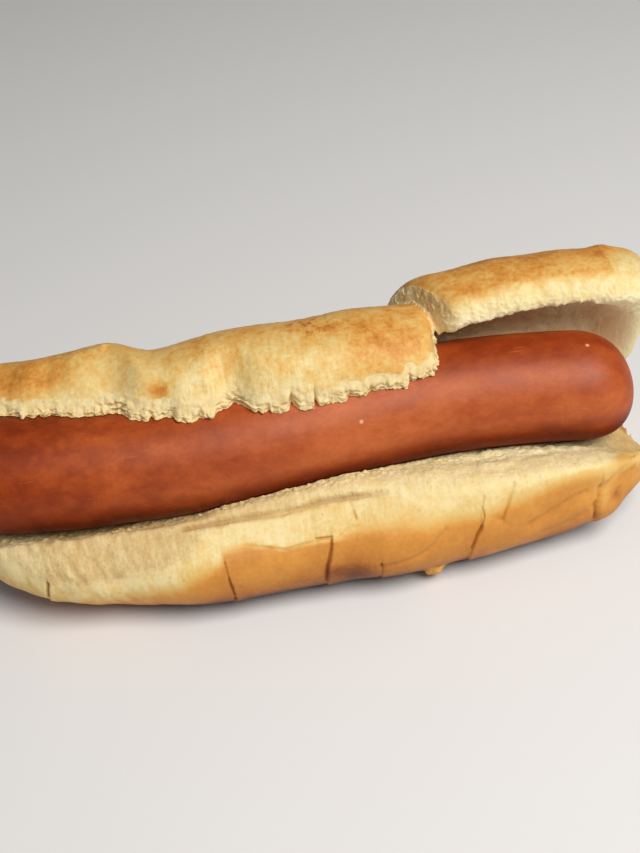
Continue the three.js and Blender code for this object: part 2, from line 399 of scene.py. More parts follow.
class Shell:
    """A closed loft: its vertices, faces, and for each vertex its section's x and outline place."""

    def __init__(self, xs, section, place=None, steps=9):
        rings = smooth_outline(section(xs), steps)
        n, size, _ = rings.shape
        y, z = rings[..., 0], np.maximum(rings[..., 1], 0.0)
        station = np.broadcast_to(xs[:, None], y.shape)
        x = station if place is None else place(station, y, z)
        body = np.stack([x, y, z], axis=-1).reshape(-1, 3)
        tips = [body[:size].mean(0), body[-size:].mean(0)]
        self.verts = np.vstack([body, tips])
        self.station = np.concatenate([station.ravel(), [xs[0], xs[-1]]])
        self.turn = np.concatenate([np.tile(np.arange(size) / steps, n), [0.0, 0.0]])
        j = np.arange(size)
        k = (j + 1) % size
        self.faces = []
        for i in range(n - 1):
            self.faces += np.stack([i * size + j, i * size + k, (i + 1) * size + k,
                                    (i + 1) * size + j], axis=1).tolist()
        first, last = len(body), len(body) + 1
        self.faces += [[first, b, a] for a, b in zip(j.tolist(), k.tolist())]
        end = (n - 1) * size
        self.faces += [[last, end + a, end + b] for a, b in zip(j.tolist(), k.tolist())]

    def ring_value(self, values):
        """A value given at each point of the outline, read at every vertex."""
        values = list(values) + [values[0]]
        return np.interp(self.turn, np.arange(len(values)), values)


def ball(at, radius):
    """A small round bead, as a Shell."""
    xs = at[0] - radius * np.cos(math.pi * np.arange(1, 12) / 12)

    def section(x):
        r = np.sqrt(np.maximum(radius ** 2 - (x - at[0]) ** 2, 0.0))
        return outline([(at[1] + r * math.sin(a), at[2] - r * math.cos(a))
                        for a in np.radians(np.arange(0, 360, 30))], x)
    return Shell(xs, section, steps=1)


# ---- meshes ----
def mesh_from(name, verts, faces):
    mesh = bpy.data.meshes.new(name)
    mesh.from_pydata(verts.tolist(), [], faces)
    mesh.update()
    return mesh


def rows(items, name, width, kind=np.float32):
    """One property of all of a mesh's items, a row to each."""
    numbers = np.empty(len(items) * width, kind)
    items.foreach_get(name, numbers)
    return numbers.reshape(-1, width)


def coordinates(mesh):
    return rows(mesh.vertices, "co", 3).astype(float)


def set_coordinates(mesh, co):
    mesh.vertices.foreach_set("co", np.asarray(co, np.float32).ravel())
    mesh.update()


def in_scene(name, data):
    obj = bpy.data.objects.new(name, data)
    bpy.context.scene.collection.objects.link(obj)
    return obj


def edge_pairs(mesh):
    return rows(mesh.edges, "vertices", 2, np.int32)


def relax(co, edges, rounds):
    """Evens out vertices: towards the mean of their neighbours, and a little further back."""
    count = np.bincount(edges.ravel(), minlength=len(co))[:, None]
    for i in range(rounds):
        factor = 0.5 if i % 2 == 0 else -0.52
        total = np.zeros_like(co)
        np.add.at(total, edges[:, 0], co[edges[:, 1]])
        np.add.at(total, edges[:, 1], co[edges[:, 0]])
        co = co + factor * (total / count - co)
    return co


def remeshed(name, shells, voxel):
    """One skin round closed shells that overlap."""
    verts, faces, start = [], [], 0
    for shell in shells:
        verts.append(shell.verts)
        faces += [[i + start for i in face] for face in shell.faces]
        start += len(shell.verts)
    rough = in_scene(name, mesh_from(name, np.vstack(verts), faces))
    modifier = rough.modifiers.new("skin", "REMESH")
    modifier.mode = "VOXEL"
    modifier.voxel_size = voxel
    modifier.adaptivity = 0.0
    bpy.context.view_layer.update()
    graph = bpy.context.evaluated_depsgraph_get()
    skin = bpy.data.meshes.new_from_object(rough.evaluated_get(graph))
    bpy.data.objects.remove(rough)
    return skin


def refine(mesh, chosen):
    """Halves the faces whose vertices are all chosen."""
    fine = bmesh.new()
    fine.from_mesh(mesh)
    fine.verts.ensure_lookup_table()
    split = [e for e in fine.edges if all(chosen[v.index] for v in e.verts)]
    bmesh.ops.subdivide_edges(fine, edges=split, cuts=1, use_grid_fill=True)
    fine.to_mesh(mesh)
    fine.free()


def shade_smooth(mesh):
    mesh.polygons.foreach_set("use_smooth", np.ones(len(mesh.polygons), bool))


def store(mesh, name, numbers):
    layer = mesh.attributes.get(name) or mesh.attributes.new(name, "FLOAT", "POINT")
    layer.data.foreach_set("value", np.asarray(numbers, np.float32))


def stored(mesh, name):
    return rows(mesh.attributes[name].data, "value", 1).astype(float).ravel()


def carried_over(source, values, co):
    """For each place in co, the mean of values at the three nearest source points."""
    tree = KDTree(len(source))
    for i, p in enumerate(source.tolist()):
        tree.insert(p, i)
    tree.balance()
    index = np.empty((len(co), 3), int)
    share = np.empty((len(co), 3))
    for i, p in enumerate(co.tolist()):
        found = tree.find_n(p, 3)
        index[i] = [f[1] for f in found]
        share[i] = [1.0 / (f[2] + 0.05) for f in found]
    share /= share.sum(axis=1, keepdims=True)
    return (values[index] * share[..., None]).sum(axis=1)


# ---- the bun's form and weights ----
base = Shell(stations(BASE_ENDS, BASE_ROUNDING, 26, 0.9), base_section, trimmed)
left = Shell(stations(LEFT_ENDS, LEFT_ROUNDING, 20, 0.5), left_section)
right = Shell(stations(RIGHT_ENDS, RIGHT_ROUNDING, 14, 0.7), right_section, leaned)
bead = ball(NODULE_AT, NODULE_RADIUS)

# The weights that every vertex carries: crumb, 0 to 1; browning, 0 pale to 1 brown, with painted
# light and shade added to it further on; how torn its edge is; and the flap that it's on.
WEIGHTS = ("crumb", "bake_and_painted_light", "torn", "on_left", "on_right")

# The pale side of the lower half: where the crumb stops, and where the golden crust starts.
CRUMB_LINE = [(-76, 19), (-67, 18.6), (-60.5, 16), (-52, 15.5), (-42, 16), (-33, 18.5), (-26, 22),
              (0, 22.9), (60, 23), (75, 19)]
CRUST_LINE = [(-76, 15.5), (-66, 14.5), (-61, 12.5), (-46, 11.5), (-37, 13.5), (-25, 17),
              (-23.4, 19.2), (-19, 19.3), (-15, 18.6), (-11, 17.8), (-7, 18.1), (-1, 18.1),
              (4, 19.4), (19, 19.4), (30, 18.4), (38, 20), (50, 22), (62, 21), (72, 16.5)]
# How soft the crumb's edge and the golden crust's edge are along those lines.
CRUMB_SOFTNESS = [(-76, 1.6), (-64, 1.6), (-56, 4), (-45, 4), (-31, 3), (-22, 1), (0, 0.9),
                  (12, 1.6), (22, 2.6), (75, 2.6)]
CRUST_SOFTNESS = [(-76, 3.4), (-28, 2.4), (-21, 0.5), (-1, 0.4), (5, 1.4), (20, 2.4), (40, 1.8),
                  (75, 1.8)]


def shell_weights(shell, crumb, bake_and_painted_light, torn, on_left=0.0, on_right=0.0):
    """WEIGHTS of a shell, a row to each vertex."""
    return np.stack([np.broadcast_to(w, len(shell.verts))
                     for w in (crumb, bake_and_painted_light, torn, on_left, on_right)], axis=1)


def base_weights():
    x, y, z = base.verts.T
    crumb = base.ring_value([0.75, 0, 0, 0, 0, 0, 0, 0, 0, 0, 0.2, 1, 1, 1, 1, 1, 1, 1])
    bake_and_painted_light = base.ring_value([0.12, 0.5, 0.66, 0.8, 0.85, 0.85, 0.85, 0.8, 0.62, 0.5, 0.4, 0.2, 0.2,
                            0.1, 0.1, 0.1, 0.1, 0.1])
    torn = base.ring_value([0.1, 0, 0, 0, 0, 0, 0, 0, 0, 0, 0, 0, 0, 0, 0, 0.3, 1.0, 0.3])
    front = blend(-y, 8, 12) * (base.turn < 4.5)
    height = z + (0.3 * noise_along(x, 6.0, 5) + 0.2 * noise_along(x, 1.7, 6))
    above = height - along(CRUMB_LINE, x)
    crumb = mix(crumb, blend(above / along(CRUMB_SOFTNESS, x), -1.0, 1.0), front)
    torn = torn * along([(-76, 1), (0, 1), (25, 0.6), (50, 0.4), (62, 0), (76, 0)], x)
    below = along(CRUST_LINE, x) - height
    darker = 0.08 * blend(x, -34, -26) * (1 - blend(x, 0, 12))
    golden = mix(along([(-76, 0.1), (-34, 0.03), (-14, 0.05), (0, 0.12), (76, 0.14)], x),
                 0.6 + darker + 0.022 * np.clip(below, 0, 16),
                 blend(below / along(CRUST_SOFTNESS, x), -1.0, 1.3))
    fading = mix(0.55, 1.0, blend(x, -60, -34))
    return shell_weights(base, crumb, mix(bake_and_painted_light, golden * fading, front), torn)


def left_weights():
    x = left.verts[:, 0]
    crumb = left.ring_value([0, 0, 0, 0, 0, 0, 0, 0.6, 1, 1, 1, 1, 1])
    bake_and_painted_light = left.ring_value([0.35, 0.42, 0.6, 0.55, 0.38, 0.27, 0.02, 0, 0, 0, 0, 0, 0])
    torn = left.ring_value([0, 0, 0, 0, 0, 0, 0.1, 1, 1, 0.2, 0, 0, 0])
    end = blend(left.station, 26.0, 26.7)
    crumb = np.maximum(crumb, end)
    bake_and_painted_light = bake_and_painted_light + 0.14 * blend(x, 0, 14) * (crumb < 0.6)
    bake_and_painted_light = bake_and_painted_light + 0.14 * blend(-x, 40, 56) * (crumb < 0.6)
    return shell_weights(left, crumb, bake_and_painted_light, np.maximum(torn, end), on_left=1.0)


def right_weights():
    x, y, _ = right.verts.T
    crumb = right.ring_value([0, 0, 0, 0, 0, 0, 0, 0.3, 1, 1, 1, 1, 1, 1])
    bake_and_painted_light = right.ring_value([0.4, 0.5, 0.56, 0.6, 0.6, 0.58, 0.5, 0.45, 0, 0, 0, 0, 0, 0])
    torn = right.ring_value([0, 0, 0, 0, 0, 0, 0, 0.2, 1, 0.4, 0, 0, 0, 0])
    end = 1 - blend(right.station, RIGHT_ENDS[0] + 1.4, RIGHT_ENDS[0] + 2.6)
    behind_edge = y + 0.5 * noise_along(x, 4.0, 7, 2)
    bake_and_painted_light = bake_and_painted_light * mix(0.08, 1.0, blend(behind_edge, 2.4, 5.2))
    bake_and_painted_light = mix(bake_and_painted_light, 0.12, blend(x, 64.8, 66.6) * blend(-y, -15, -10))
    return shell_weights(right, np.maximum(crumb, end), bake_and_painted_light, np.maximum(torn, end),
                         on_right=1.0)


shells = [base, left, right, bead]
weights = np.vstack([base_weights(), left_weights(), right_weights(),
                     shell_weights(bead, 0.0, 0.5, 0.0)])
skin = remeshed("bun_skin", shells, VOXEL)
co = relax(coordinates(skin), edge_pairs(skin), 2)
set_coordinates(skin, co)
source = np.vstack([shell.verts for shell in shells])
for name, numbers in zip(WEIGHTS, carried_over(source, weights, co).T):
    store(skin, name, numbers)

# Cracks and creases of the lower half's crust: points on the surface, depth, width, step.
CRACKS = [
    ([(-60.3, -21.6, 15.6), (-60.9, -21.3, 12), (-61.3, -20.4, 8)], 1.1, 0.26, 0.4),
    ([(-23.9, -25, 17), (-23.3, -27, 13), (-22.6, -27, 8.5), (-23.5, -22, 3)], 0.55, 0.2, 0.4),
    ([(-4.5, -23.4, 18.4), (-1.4, -23.7, 18.4), (-1.9, -25.3, 16), (-2.9, -26.4, 12.8),
      (-3.3, -26.2, 9), (-3, -22, 3.5)], 0.7, 0.26, 0.5),
    ([(8.4, -26.8, 11.4), (8.3, -25, 5.8), (8.2, -20, 1.8)], 0.5, 0.22, 0.3),
    ([(8.6, -26.8, 10.8), (14.4, -26.9, 12), (18.8, -26.3, 13.4), (22.6, -24.9, 16.5)],
     0.3, 0.5, 0.12),
    ([(31.2, -21.8, 21.4), (30.5, -22.8, 19.6), (30.9, -23.6, 18), (30.2, -24.4, 15.6)],
     0.35, 0.2, 0.2),
    ([(30.2, -24.4, 15.6), (29, -25, 13.4), (28, -25.3, 10.6), (27.5, -24, 7),
      (27.8, -22, 4)], 0.65, 0.25, 0.45),
    ([(37.9, -20.7, 23), (36.2, -22.9, 19.3), (34.8, -23.9, 16.4)], 0.4, 0.35, 0.12),
    ([(57.6, -19, 18.5), (56.6, -20.4, 14.8), (56, -21.1, 13.4), (56.4, -20.9, 9)], 1, 0.45, 0.7),
    ([(66.3, -14.2, 19.5), (66.2, -15.2, 18.6), (65.5, -16.1, 17.2)], 0.5, 0.22, 0.2),
    ([(59.6, -20.7, 12.9), (60.9, -19.6, 14.3), (62.2, -18.6, 15)], 0.35, 0.32, 0),
    ([(3.4, -18.2, 23), (3.8, -19.8, 22), (4.2, -21.4, 20.6)], 0.35, 0.2, 0),
    ([(41, -23.8, 13.4), (45.5, -22.9, 14.7), (50, -22, 16.4), (53.6, -21, 17.4)], 0.4, 0.8, 0),
    ([(57.5, -20.4, 17), (60, -19, 18.6), (62.6, -17.8, 19.1), (66, -14, 20)], 0.35, 0.7, 0),
    ([(44, -23, 10), (49, -22.6, 11), (53.5, -21.8, 12.4)], 0.3, 0.7, 0),
    ([(33.6, -24.2, 17.4), (34.3, -24, 16), (36, -23.9, 14.8)], 0.2, 0.4, 0),
    ([(-19.2, -23.2, 19.4), (-15.2, -23.7, 18.7), (-11.2, -24.4, 17.7), (-6.9, -23.9, 18.1),
      (-4, -23.6, 18)], 0.2, 0.2, 0),
    ([(-0.7, -24.3, 17.9), (1.7, -22.8, 19.5), (4.5, -22.7, 19.8)], 0.2, 0.2, 0),
]
# The crease between the crumb and the pale rim of the crust.
CREASE = [(-31, -18.2, 22.3), (-26.6, -18.2, 22.5), (-19.4, -18.2, 22.6), (-11, -18.4, 22.5),
          (-6.8, -18, 22.7), (-2.4, -17.3, 23), (6, -17.5, 23.1), (14, -18.1, 23.3)]
CREASE_DEPTH, CREASE_WIDTH = 1.1, 0.62

# Darker, speckled and raised places: where, radius, and how much browner or higher. Some darker and
# lighter places are painted light: the spots at x -63 and -61 on the left flap are browning with a
# finger's shadow painted in, the one at (61.2, -19.4, 14.2) is painted shade in a crease, and the
# paler one at (-66, -18, 18) is a painted highlight on the left end's ridge.
BROWNING_AND_PAINTED_LIGHT = [
    ((-32.4, -0.6, 44), 2.4, 0.5), ((-31.6, -0.4, 44.2), 1.5, 0.3),
    ((17.6, 0.3, 48.3), 6, 0.14), ((12.5, 3, 49.6), 6, 0.14), ((-61, 11, 44.6), 5, 0.16),
    ((-52, 9.7, 45.8), 3, 0.1), ((-55.4, 9, 44.3), 3.5, 0.1), ((-22, 10, 48.3), 4, 0.18),
    ((-11.5, 9.8, 49.1), 3.5, 0.18), ((39, 14.6, 55), 4, 0.14), ((52, 13.9, 55.4), 5, 0.2),
    ((64.6, 12, 55.5), 4, 0.24), ((34.7, 5.6, 54.5), 2, 0.2), ((3.4, -26.4, 10.2), 3.4, 0.36),
    ((-1.4, -26.2, 11), 2.4, 0.22), ((-63, 11, 44), 5, 0.2), ((66.2, 14.5, 54.4), 2.4, 0.2),
    ((-1, 9, 49.4), 4, 0.16), ((16, -8, 46), 7, 0.2), ((57, -19.5, 15), 5, -0.22),
    ((62.5, -14, 20), 4, 0.25), ((-66, -18, 18), 4, -0.2), ((61.2, -19.4, 14.2), 1.8, 0.35),
]
SPECKLED = [
    ((0, 8.5, 49.5), 4.5, 0.55), ((8, 5.8, 50), 4, 0.25), ((13, 1.5, 49.2), 3, 0.12),
    ((-43, 12, 48.2), 6, 0.2), ((18, 6, 49.2), 5, 0.12), ((45, 12, 55), 16, 0.12),
]
RAISED = [((-43, 15.4, 46.3), 1.2, 0.9), ((59.5, -18.5, 9.5), 4, 1),
          ((66.2, 15.5, 54.4), 2.4, 0.8), ((70.5, 13, 52.5), 1.6, -0.5)]


def on_torn_face(x, y):
    """1 on the right flap's slanting torn end, 0 past it."""
    return 1 - blend(x + 0.48 * y, 31.4, 33)


def groove(line, wander, widening, depth, width, step):
    """Depth of a crack at every vertex, and the step up on its right-hand side."""
    distance, side = line
    distance = np.maximum(distance + wander, 0.0)
    return (-depth * np.exp(-(distance / (width * widening)) ** 2)
            + step * np.exp(-distance / 3.0) * blend(side, -0.15, 0.3))


# Smaller faces along the torn edges, so that they can be ragged, and along the cracks.
for reach in (1.5, 0.8):
    co = coordinates(skin)
    line_distance = np.min([from_line(co, line)[0]
                            for line in [c[0] for c in CRACKS] + [CREASE]], axis=0)
    refine(skin, (line_distance < reach) | ((stored(skin, "torn") > 0.3) & (reach > 1)))

# ---- relief ----
co = coordinates(skin)
x, y, z = co.T  # views, so they follow what is changed in co
normal = rows(skin.vertex_normals, "vector", 3).astype(float)
crumb, bake_and_painted_light, torn, on_left, on_right = (stored(skin, name) for name in WEIGHTS)
on_base = 1 - on_left - on_right
is_base, is_right = on_base > 0.5, on_right > 0.5

# The lower half's right end reaches a little further at the front, and less behind the sausage.
behind_end = blend(y, -8, 3) * (1 - blend(y, 8, 16))
co[:, 0] += on_base * blend(x, 62, 72) * (0.5 - 2.4 * behind_end)

# The left flap's torn edge, cut back from the smooth line round it to its teeth and splits.
theta, radial = around(co)
turn = np.degrees(np.mod(theta, 2 * math.pi))
past_rim = turn - along(RIM, x)
theta = theta - on_left * 0.92 * np.radians(np.logaddexp(0, past_rim / 0.6) * 0.6)
slope = SAUSAGE_RADIUS + 1.5 + 1.8 * to_edge(x, turn, 8.0, 0.5, 2.4)
radial = mix(radial, slope - 0.6 * np.logaddexp(0, (slope - radial) / 0.6), on_left)
to_rim = np.hypot(to_edge(x, turn, 3.0, 0.5, 0.2),
                  0.8 * np.maximum(radial - SAUSAGE_RADIUS - 1.4, 0)) + 0.6 * cloud(co, 1.8, 2, 63)
crumb = np.maximum(crumb, on_left * (1 - blend(to_rim, 1.4, 3.0)))
torn = np.maximum(torn, on_left * (1 - blend(to_rim, 0.6, 2.4)))

# Crumbs that stand out past the torn edges: round the sausage on the left flap and the lower
# half's lip, and downwards under the right flap.
teeth = (0.75 * np.abs(cloud(co, 1.7, 1, 61)) + 0.6 * cloud(co, 0.9, 2, 67) - 0.15) * torn
torn = torn * (1 - 0.6 * on_right * on_torn_face(x, y))
co[:, 0] += on_left * blend(x, 23.5, 25.5) * (0.8 * teeth - 0.2)
past = (on_left - 0.5 * on_base * (theta < 0)) * teeth / np.maximum(radial, 5)
axis_y, axis_z = axis_at(x)
co[:, 1] = axis_y + radial * np.sin(theta + past)
co[:, 2] = axis_z - radial * np.cos(theta + past) - 0.8 * teeth * on_right * blend(z, 36, 42)

# Where the crumb meets the crust: ragged, but less so on the flaps and in the bun's middle.
fluffy = is_base * (1 - blend(x, -46, -26))
firm = 0.25 * np.maximum(blend(x, -32, -22) * (1 - blend(x, 5, 20)), 1 - on_base)
ragged = 1 - 0.6 * on_base * blend(x, 10, 24)
crumb = blend(crumb + ragged * (0.22 * cloud(co, 2.4, 3, 11) + 0.12 * cloud(co, 0.9, 2, 12)),
              firm, 1 - firm)
# The crust goes on over the lower half's right end.
over_end = on_base * blend(x - 0.6 * (y + 19), 56.5, 62.5) * blend(-y, 8.5, 13)
crumb = crumb * (1 - over_end)
bake_and_painted_light = mix(bake_and_painted_light, 0.3, over_end * blend(z, 18, 19.5))

# The crumb: lumps, pores and fibres that run from the sausage outwards, and crumbs where it tore.
some = crumb > 0.01
edge = (torn > 0.02) & some
lumpy, tiny, round_crumbs = np.zeros((3, len(co)))
lumpy[some] = 0.55 - spot_distance(co[some], 1.8, 21)
tiny[edge] = 0.55 - spot_distance(co[edge], 0.8, 25)
round_crumbs[edge] = np.maximum(0.5 - spot_distance(co[edge], 1.4, 29), 0)
# Slanting tufts of fibres at the lower half's left end.
slanted = co + co[:, 2:3] * (0.5, 0, 0)
tufts = cloud(slanted / (1.5, 4.6, 4.6), 1.0, 3, 71)
fraying = fluffy * (0.24 * tufts + 0.4 * cloud(co, 4.0, 2, 72))
lumps = 0.32 * (1 - torn) * is_base * blend(x, 0, 20) * cloud(co, 3.4, 2, 73)
in_hollow = is_right * (1 - blend(z, 48, 52))
lumps = lumps + 0.3 * in_hollow * cloud(co, 1.8, 2, 74)
crumb_relief = (0.3 * cloud(co, 7.0, 2, 22) + 0.16 * cloud(co, 2.6, 2, 23) + 0.05 * lumpy
                + 0.12 * cloud(co / (1.2, 5.0, 5.0), 1.0, 3, 26)
                + torn * mix(1.0, 0.5, on_left) * (0.22 * lumpy + 0.22 * tiny
                                                   + 0.2 * cloud(co, 3.0, 2, 27))
                + torn * mix(1.1, 0.5, on_left) * (1 - on_right) * round_crumbs
                + fraying + lumps)

# The crust: broad swells, fine wrinkles along the left flap, and a little of the fraying.
streaks = np.stack([x / 1.1, theta * 20.0 / 7.0, radial / 7.0], axis=1)
wrinkles = cloud(streaks, 1.0, 3, 31)
folded = blend(x, -36, -26) * (1 - blend(x, 2, 14))
crust_relief = (0.26 * cloud(co, 13.0, 2, 32) + 0.05 * cloud(co, 2.4, 2, 33)
                + on_left * mix(0.02, 0.09, folded) * wrinkles
                + (on_left + on_right) * 0.07 * cloud(co, 1.0, 2, 34) + 0.5 * fraying)
move = mix(crust_relief, crumb_relief, crumb)

# Cracks, with painted shade in them; the wide ones get less of it.
wander = 0.12 * cloud(co, 1.2, 2, 41)
widening = 1.25 + 0.6 * cloud(co, 3.0, 2, 43)
crack_shade = np.zeros(len(co))
for points, depth, width, step in CRACKS:
    dent = is_base * groove(from_line(co, points), wander, widening, depth, width, step)
    move = move + dent
    crack_shade = np.maximum(crack_shade, np.clip(-dent / 0.6, 0, 1) * min(1.0, 0.2 / width))
dent = is_base * (1 - blend(x, 6, 14)) * groove(from_line(co, CREASE), wander, widening,
                                                CREASE_DEPTH, CREASE_WIDTH, 0.0)
move = move + dent
# Painted shade along the crease's valley.
crack_shade = np.maximum(crack_shade, 0.8 * np.clip(-dent / CREASE_DEPTH, 0, 1) ** 1.5)

# Darker, speckled and raised places.
speckle = blend(cloud(co, 0.9, 2, 51), 0.05, 0.4)
for at, radius, amount in BROWNING_AND_PAINTED_LIGHT:
    bake_and_painted_light = bake_and_painted_light + amount * near_to(co, at, radius)
for at, radius, amount in SPECKLED:
    bake_and_painted_light = bake_and_painted_light + amount * speckle * near_to(co, at, radius)
for at, radius, amount in RAISED:
    move = move + amount * near_to(co, at, radius)
# The lower half's lip stands a little higher at the right, and its crumbs get painted light.
high_lip = (is_base * np.exp(-((radial - 13.6) / 1.3) ** 2) * blend(-theta, 0.5, 0.75)
            * blend(x, 24, 36) * (1 - blend(x, 54, 64)))
move = move + 0.6 * high_lip * (1 + 0.8 * cloud(co, 1.5, 2, 75))
# The lower half is browner towards its sole, and painted shade darkens its underside further.
from_below = z - along(BASE_LIFT, x)
bake_and_painted_light = bake_and_painted_light + is_base * (0.5 * (1 - blend(from_below, 0.5, 8.5))
                         + 0.32 * (1 - blend(from_below, 2, 13))
                         * blend(x, -42, -24) * (1 - blend(x, 6, 30)))
near_bead = near_to(co, NODULE_AT, 3.2)
move = move + near_bead * (0.2 + 0.9 * cloud(co, 1.5, 2, 91))
bake_and_painted_light = bake_and_painted_light - 0.5 * near_bead - 0.22 * fluffy * tufts

# Hardly any relief on the sole and beside the sausage's right end.
move = move * mix(0.05, 1.0, blend(z, 0.0, 1.6))
move = move * (1 - 0.9 * blend(x, 64, 66) * (1 - blend(radial, 13.5, 15.5)))
co = co + normal * move[:, None]
x, y, z = co.T
co[:, 2] = np.maximum(z, 0.0)

# Keep the bread just clear of the sausage, with a dark gap before it at both ends.
theta, radial = around(co)
gap = along([(-76, 1.1), (-48, 0.9), (-38, 0), (28, 0), (44, 0.15), (56, 0.8), (66, 1.4),
             (70, 0.5), (76, 0)], x)
gap = gap * (1 + (1 - blend(x, 56, 64)) * (0.6 * cloud(co, 1.4, 2, 81)
                                           + 0.7 * cloud(co, 5.0, 2, 83)))
gap = gap * blend(-np.degrees(theta), 10, 32) * blend(np.degrees(theta), -100, -85)
axis_y, axis_z = axis_at(x)
clear = sausage_radius(x, CONTACT_GAP)
bed = blend(x, 50, 56) * (1 - blend(x, 64, 67.5)) * blend(-np.degrees(theta), -110, -60)
clear = np.maximum(clear, (SAUSAGE_RADIUS + CONTACT_GAP) * bed)
soft = 0.04 + 0.3 * np.clip(gap, 0, 1)
limit = clear + gap
push = (limit + soft * np.logaddexp(0, (radial - limit) / soft)) / np.maximum(radial, 1e-6)
co[:, 1] = axis_y + (y - axis_y) * push
co[:, 2] = axis_z + (z - axis_z) * push
# The lower half's right end is low and smooth behind the sausage.
even = blend(x, 63, 67) * blend(y, -13, -7) * (1 - blend(y, 8, 14)) * (1 - blend(z, 20, 24))
co[:, 2] = z - 0.3 * even * np.maximum(z - 12, 0)
pairs = edge_pairs(skin)
chosen, pairs = np.unique(pairs[(even[pairs] > 0).all(axis=1)], return_inverse=True)
co[chosen] = mix(co[chosen], relax(co[chosen], pairs.reshape(-1, 2), 40), even[chosen][:, None])
set_coordinates(skin, (co + CAD_OFFSET) * MM)

# Weights for the material. Tanner crumb: the lower half's left end, tan with painted shade; its
# right tip and the right flap's torn end, painted shade where they face away from the light; and
# the left flap's edge.
tan_and_shade = np.maximum(is_base * (1 - blend(x, -44, 34)), 0.3 * on_left)
tan_and_shade = np.maximum(tan_and_shade, is_base * blend(x, 58, 66) * blend(y, -19, -8))
torn_face = on_right * on_torn_face(x, y) * blend(z, 44, 48)
tan_and_shade = np.maximum(tan_and_shade, torn_face)
in_hollow = is_right * (1 - blend(z, 48, 52))
behind = blend(y, -2, 12)
pale_side = is_base * (1 - blend(bake_and_painted_light, 0.15, 0.4)) * (1 - blend(x, 34, 50))
# Lighter crumb: pale tufts at the lower half's left end, painted light in the right flap's hollow
# and on the lip, and a painted highlight on the left end's ridge; darker crumb: painted shade on
# the right flap's torn end and the lower half's right tip.
painted_light_and_pale_tufts = (0.2 * fluffy * tufts + 0.6 * in_hollow - 0.2 * torn_face
         + 0.35 * blend(-x, 58, 68) * is_base + 0.2 * high_lip
         - 0.2 * is_base * blend(x, 62, 67))
fibrous = on_left * mix(0.15, 0.8, folded) * (1 - 0.8 * behind) + 0.5 * pale_side
mottled = np.clip(on_left + 0.5 * on_right + 0.35 + 0.5 * behind + 0.3 * pale_side, 0, 1)
for name, values in (("crumb", crumb), ("bake_and_painted_light", bake_and_painted_light), ("crack_shade", crack_shade), ("tan_and_shade", tan_and_shade),
                     ("painted_light_and_pale_tufts", painted_light_and_pale_tufts), ("fibrous", fibrous), ("mottled", mottled)):
    store(skin, name, values)
for name in ("torn", "on_left", "on_right"):
    skin.attributes.remove(skin.attributes[name])
shade_smooth(skin)
skin.name = "bun_bread"
bread = in_scene("bun_bread", skin)
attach(bread, "root")
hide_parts("bun")

# ---- the frankfurter ----
SAUSAGE_SIDES = 128


def sausage_section(x):
    angles = np.arange(SAUSAGE_SIDES) * 360.0 / SAUSAGE_SIDES
    axis = axis_at(x)
    radius = sausage_radius(x)
    flat = np.zeros((len(x) * SAUSAGE_SIDES, 3))
    flat[:, 0] = np.repeat(x, SAUSAGE_SIDES)
    turn = np.tile(np.radians(angles), len(x))
    flat[:, 1], flat[:, 2] = 12 * np.sin(turn), -12 * np.cos(turn)
    wobble = (0.1 * cloud(flat, 14.0, 2, 51) + 0.03 * cloud(flat, 4.0, 2, 52)).reshape(
        len(x), SAUSAGE_SIDES)
    return outline([polar(axis, a, radius + (wobble[:, i] - 0.06) * radius / SAUSAGE_RADIUS)
                    for i, a in enumerate(angles)], x)


frank = Shell(stations(SAUSAGE_ENDS, SAUSAGE_ROUNDING, 24, rings=200), sausage_section, steps=1)
frank_mesh = mesh_from("sausage_skin", (frank.verts + CAD_OFFSET) * MM, frank.faces)
shade_smooth(frank_mesh)
# Painted shade: darker low at the front, where the underside is in shade, and along the top under
# the right flap's overhang, but not at the tips.
frank_x = frank.verts[:, 0]
frank_angle = np.degrees(around(frank.verts)[0])
shaded_underside = blend(-frank_angle, -15, 25) * (1 - blend(-frank_angle, 62, 98))
shaded_underside = shaded_underside * mix(0.35, 1.12, blend(frank_x, -28, -6))
shaded_crown = blend(np.abs(frank_angle), 138, 180) * blend(frank_x, 16, 34)
away_from_tips = blend(sausage_radius(frank_x), 3.5, 10.5)
store(frank_mesh, "painted_shade", np.maximum(shaded_underside, 0.55 * shaded_crown) * away_from_tips)
sausage = in_scene("sausage_skin", frank_mesh)
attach(sausage, "root")
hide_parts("sausage")


# ---- materials ----
def srgb(r, g, b):
    """A colour written as 0 to 255 on screen, as the linear values that shaders take."""
    return tuple((c / 255 / 12.92) if c <= 10 else ((c / 255 + 0.055) / 1.055) ** 2.4
                 for c in (r, g, b)) + (1.0,)


